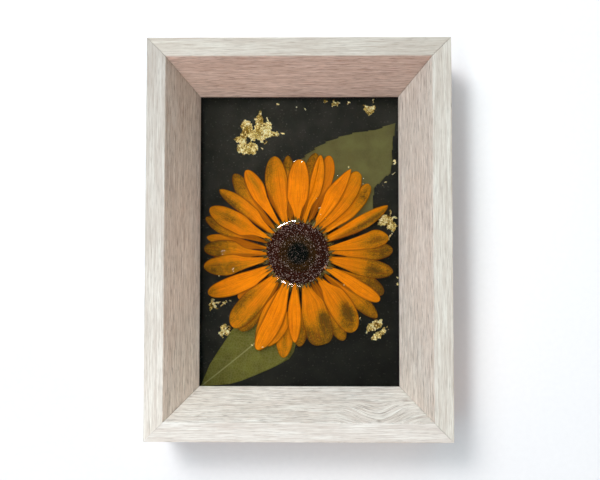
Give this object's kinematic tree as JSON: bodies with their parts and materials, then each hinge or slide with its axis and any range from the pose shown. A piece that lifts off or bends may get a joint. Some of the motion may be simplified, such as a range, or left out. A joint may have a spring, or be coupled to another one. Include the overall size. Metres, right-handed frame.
{
  "type": "pressed flower frame",
  "caption": "Deep limed-wood frame with sloping inner sides round a clear resin sheet that seals a pressed orange flower, leaves and gold leaf over black.",
  "frame": {"origin": "middle of the frame's back plane, which is the bottom of the box when it lies on its back", "axes": "+X to the picture's right, +Y to the picture's top, +Z out of the picture side"},
  "size_m": [0.152, 0.2004, 0.048],
  "materials": {
    "limed_wood": "satin",
    "clear_resin": "polished",
    "black_paint": "satin",
    "hardboard": "matte",
    "steel": "satin",
    "petals": "matte",
    "seed_disc": "matte",
    "pressed_leaf": "matte",
    "gold_leaf": "gloss"
  },
  "bodies": {
    "root": {"rail_bottom": "limed_wood", "rail_right": "limed_wood", "rail_top": "limed_wood", "rail_left": "limed_wood", "resin_sheet": "clear_resin", "black_board": "black_paint", "back_board": "hardboard", "point_left_upper": "steel", "point_left_lower": "steel", "point_right_upper": "steel", "point_right_lower": "steel", "point_top": "steel", "point_bottom": "steel", "sawtooth_hanger": "steel", "hanger_nail_left": "steel", "hanger_nail_right": "steel"}
  },
  "joints": []
}
